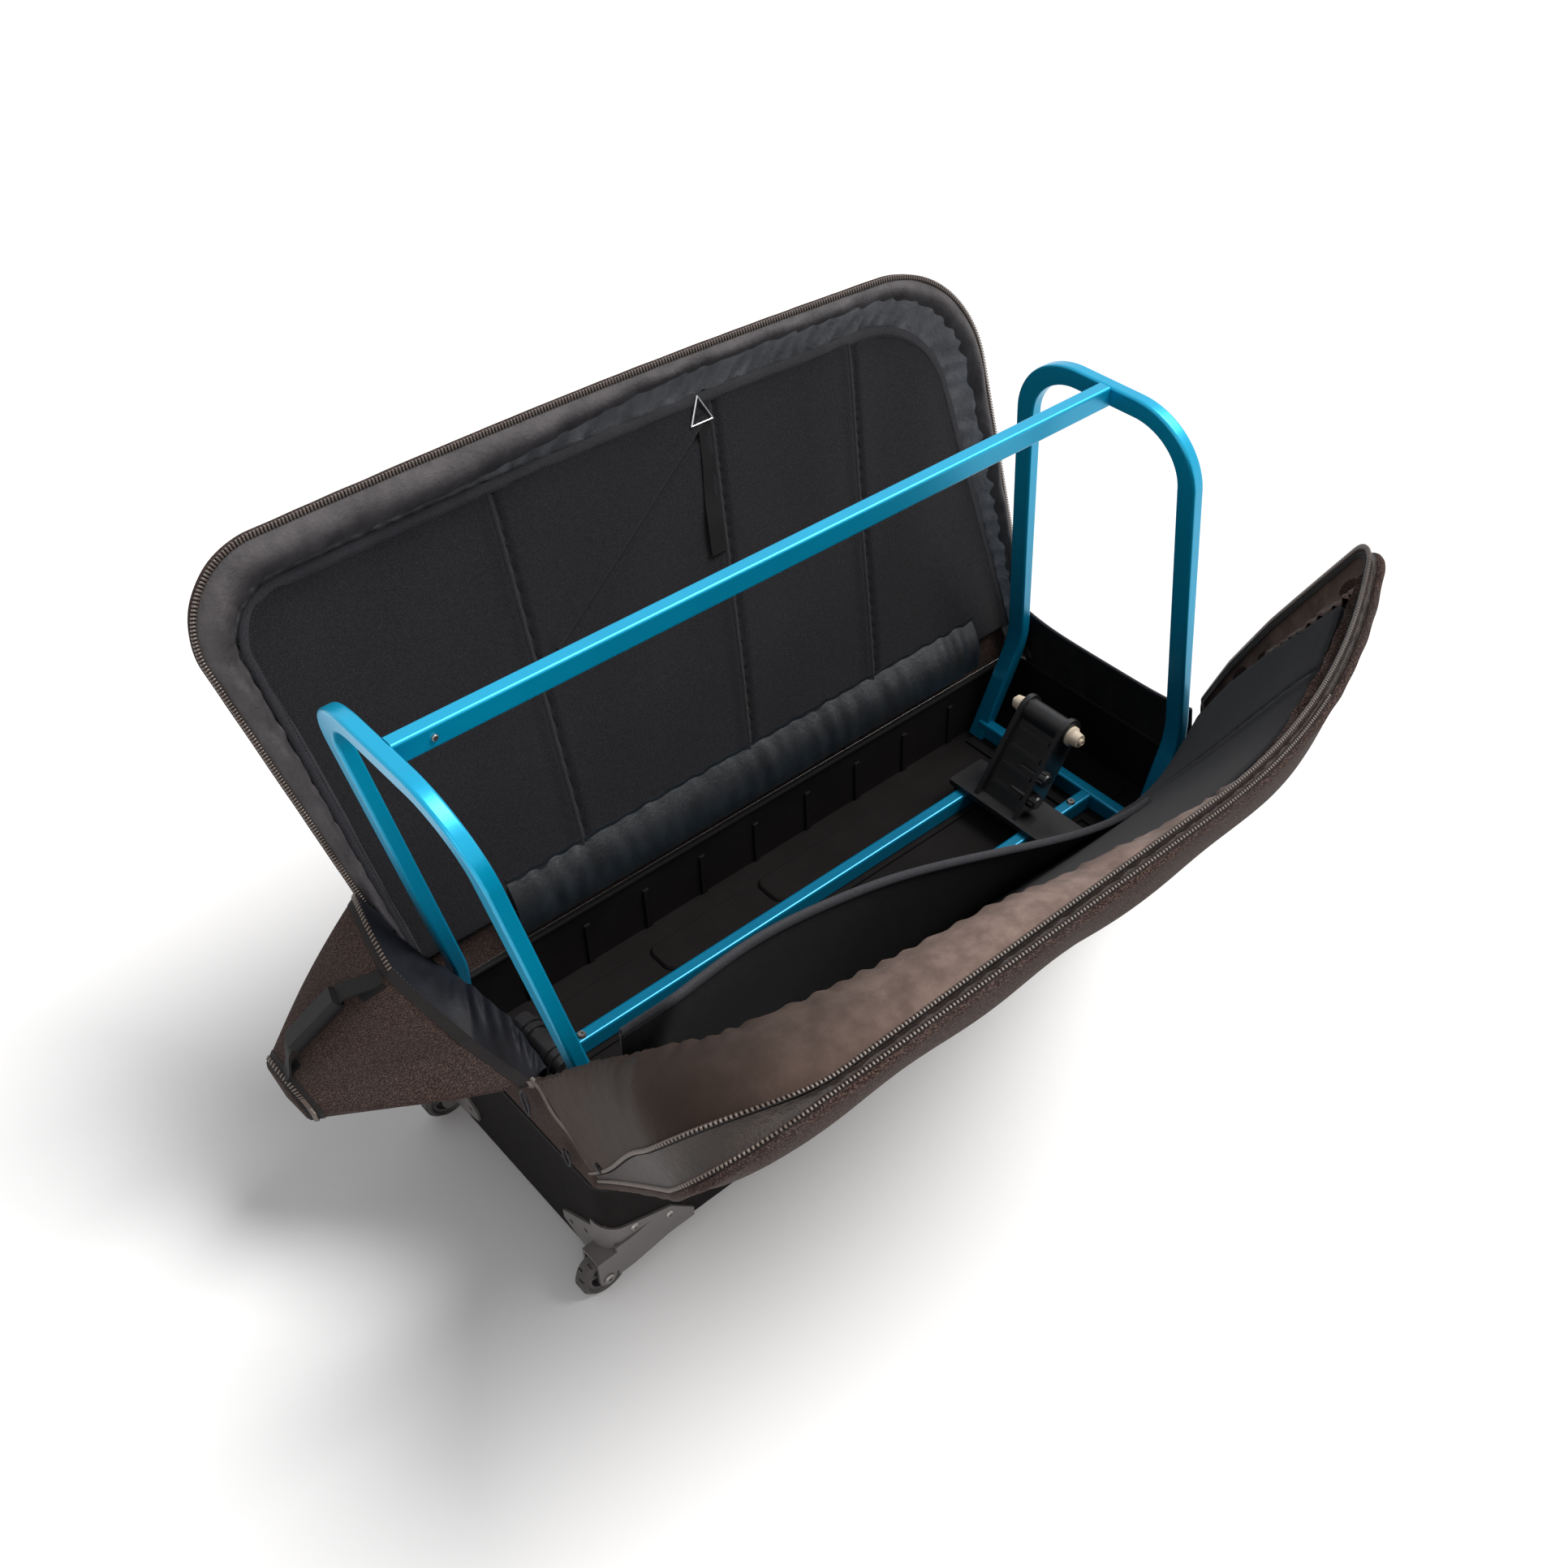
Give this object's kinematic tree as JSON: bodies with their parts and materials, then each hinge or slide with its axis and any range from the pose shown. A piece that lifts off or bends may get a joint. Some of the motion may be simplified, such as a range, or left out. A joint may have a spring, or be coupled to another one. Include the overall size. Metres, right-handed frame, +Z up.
{
  "type": "bike travel case",
  "caption": "Open soft bicycle travel case: rolling hard tub, hinged fabric sides, end flap with handle, blue tube frame with fork and rear axle stands",
  "frame": {"origin": "middle of the tub's flat underside (belly pan)", "axes": "+X along the case towards the tail end, nose and wheels at -X; +Y towards the back panel; +Z up"},
  "size_m": [1.3953, 0.9106, 0.8842],
  "materials": {
    "bolt": "satin",
    "border": "shiny nylon",
    "felt": "felt",
    "shell": "heather weave",
    "zip": "coil zip",
    "frame": "blue anodised",
    "slider": "dark bronze",
    "tub": "fine grain",
    "foot": "smooth satin",
    "stand": "satin gloss",
    "grip": "smooth",
    "webbing": "webbing",
    "cone": "satin",
    "hook": "polished",
    "tyre": "moulded",
    "bracket": "satin",
    "wheel": "satin"
  },
  "bodies": {
    "base": {"axle_bolts": "bolt", "back_rail": "frame", "base_tub": "tub", "belly_pan": "tub", "belly_skids_back": "foot", "belly_skids_front": "foot", "bracket_bolts": "bolt", "fork_axle": "stand", "fork_axle_rings": "stand", "fork_stand": "stand", "frame_bolts": "bolt", "front_rail": "frame", "nose_cross_tube": "frame", "nose_hoop": "frame", "nose_lining": "border", "nose_skirt": "shell", "rim_binding": "webbing", "tail_cross_tube": "frame", "tail_foot_back": "foot", "tail_foot_front": "foot", "tail_hoop": "frame", "tail_wall": "border", "top_tube": "frame", "tube_spigot": "frame", "wheel_bracket_back": "bracket", "wheel_bracket_front": "bracket"},
    "wheel_back": {"wheel_hub_back": "wheel", "tyre_back": "tyre"},
    "wheel_front": {"wheel_hub_front": "wheel", "tyre_front": "tyre"},
    "back_panel": {"back_panel_shell": "shell", "back_panel_border": "border", "back_panel_zip": "zip", "back_panel_pad": "felt", "back_pocket": "border", "hook_strap": "webbing"},
    "strap_hook": {"strap_hook": "hook"},
    "back_slider": {"back_zip_slider": "slider"},
    "back_pull": {"back_zip_pull": "slider"},
    "front_panel": {"front_panel_shell": "shell", "front_panel_border": "border", "front_panel_zip": "zip", "front_panel_pad": "felt", "wheel_pocket": "felt"},
    "front_slider": {"front_zip_slider": "slider"},
    "front_pull": {"front_zip_pull": "slider"},
    "end_flap": {"flap_shell": "shell", "flap_hem": "shell"},
    "carry_handle": {"handle_strap": "webbing", "handle_grip": "grip"},
    "rear_stand": {"rear_stand_base": "stand", "rear_stand_tower": "stand", "rear_axle_tube": "stand", "rear_cone_front": "cone", "rear_cone_back": "cone"},
    "upper_knob": {"clamp_knob_1": "stand"},
    "lower_knob": {"clamp_knob_2": "stand"},
    "lock_button": {"lock_button": "bolt"}
  },
  "joints": [
    {"name": "wheel_spin_back", "type": "hinge", "parent": "base", "child": "wheel_back", "pos_m": [-0.58, 0.182, 0.011], "axis": [0, 1, 0], "continuous": true},
    {"name": "wheel_spin_front", "type": "hinge", "parent": "base", "child": "wheel_front", "pos_m": [-0.58, -0.182, 0.011], "axis": [0, 1, 0], "continuous": true},
    {"name": "back_panel_hinge", "type": "hinge", "parent": "base", "child": "back_panel", "pos_m": [0, 0.2, 0.19], "axis": [1, 0, 0], "range_deg": [-45, 15]},
    {"name": "front_panel_hinge", "type": "hinge", "parent": "base", "child": "front_panel", "pos_m": [0, -0.2, 0.19], "axis": [-1, 0, 0], "range_deg": [-40, 21]},
    {"name": "end_flap_hinge", "type": "hinge", "parent": "base", "child": "end_flap", "pos_m": [-0.582, 0, 0.19], "axis": [0, 1, 0], "range_deg": [-35, 0]},
    {"name": "handle_swing", "type": "hinge", "parent": "end_flap", "child": "carry_handle", "pos_m": [-0.65137, 0.1204, 0.36664], "axis": [-0.7192, 0.2309, -0.6553], "range_deg": [-25, 4]},
    {"name": "rear_stand_slide", "type": "slide", "parent": "base", "child": "rear_stand", "axis": [1, 0, 0], "range_m": [-0.16, 0.015]},
    {"name": "upper_knob_turn", "type": "hinge", "parent": "rear_stand", "child": "upper_knob", "pos_m": [0.374, -0.044, 0.187], "axis": [0, 1, 0], "continuous": true},
    {"name": "lower_knob_turn", "type": "hinge", "parent": "rear_stand", "child": "lower_knob", "pos_m": [0.358, -0.044, 0.151], "axis": [0, 1, 0], "continuous": true},
    {"name": "hook_swing", "type": "hinge", "parent": "back_panel", "child": "strap_hook", "pos_m": [0.036, 0.33085, 0.76451], "axis": [1, 0, 0], "range_deg": [0, 110]},
    {"name": "back_slider_run", "type": "slide", "parent": "back_panel", "child": "back_slider", "axis": [-0.2003, 0.2536, 0.9464], "range_m": [-0.03, 0.25]},
    {"name": "back_pull_swing", "type": "hinge", "parent": "back_slider", "child": "back_pull", "pos_m": [-0.60066, 0.18695, 0.34879], "axis": [-0.9797, -0.0518, -0.1935], "range_deg": [0, 150]},
    {"name": "front_slider_run", "type": "slide", "parent": "front_panel", "child": "front_slider", "axis": [-0.2003, -0.5336, 0.8217], "range_m": [-0.03, 0.25]},
    {"name": "front_pull_swing", "type": "hinge", "parent": "front_slider", "child": "front_pull", "pos_m": [-0.60066, -0.25008, 0.33633], "axis": [0.9797, -0.1091, 0.168], "range_deg": [0, 150]},
    {"name": "button_press", "type": "slide", "parent": "base", "child": "lock_button", "axis": [0, 1, 0], "range_m": [0, 0.0035], "stiffness_N_per_m": 600}
  ]
}
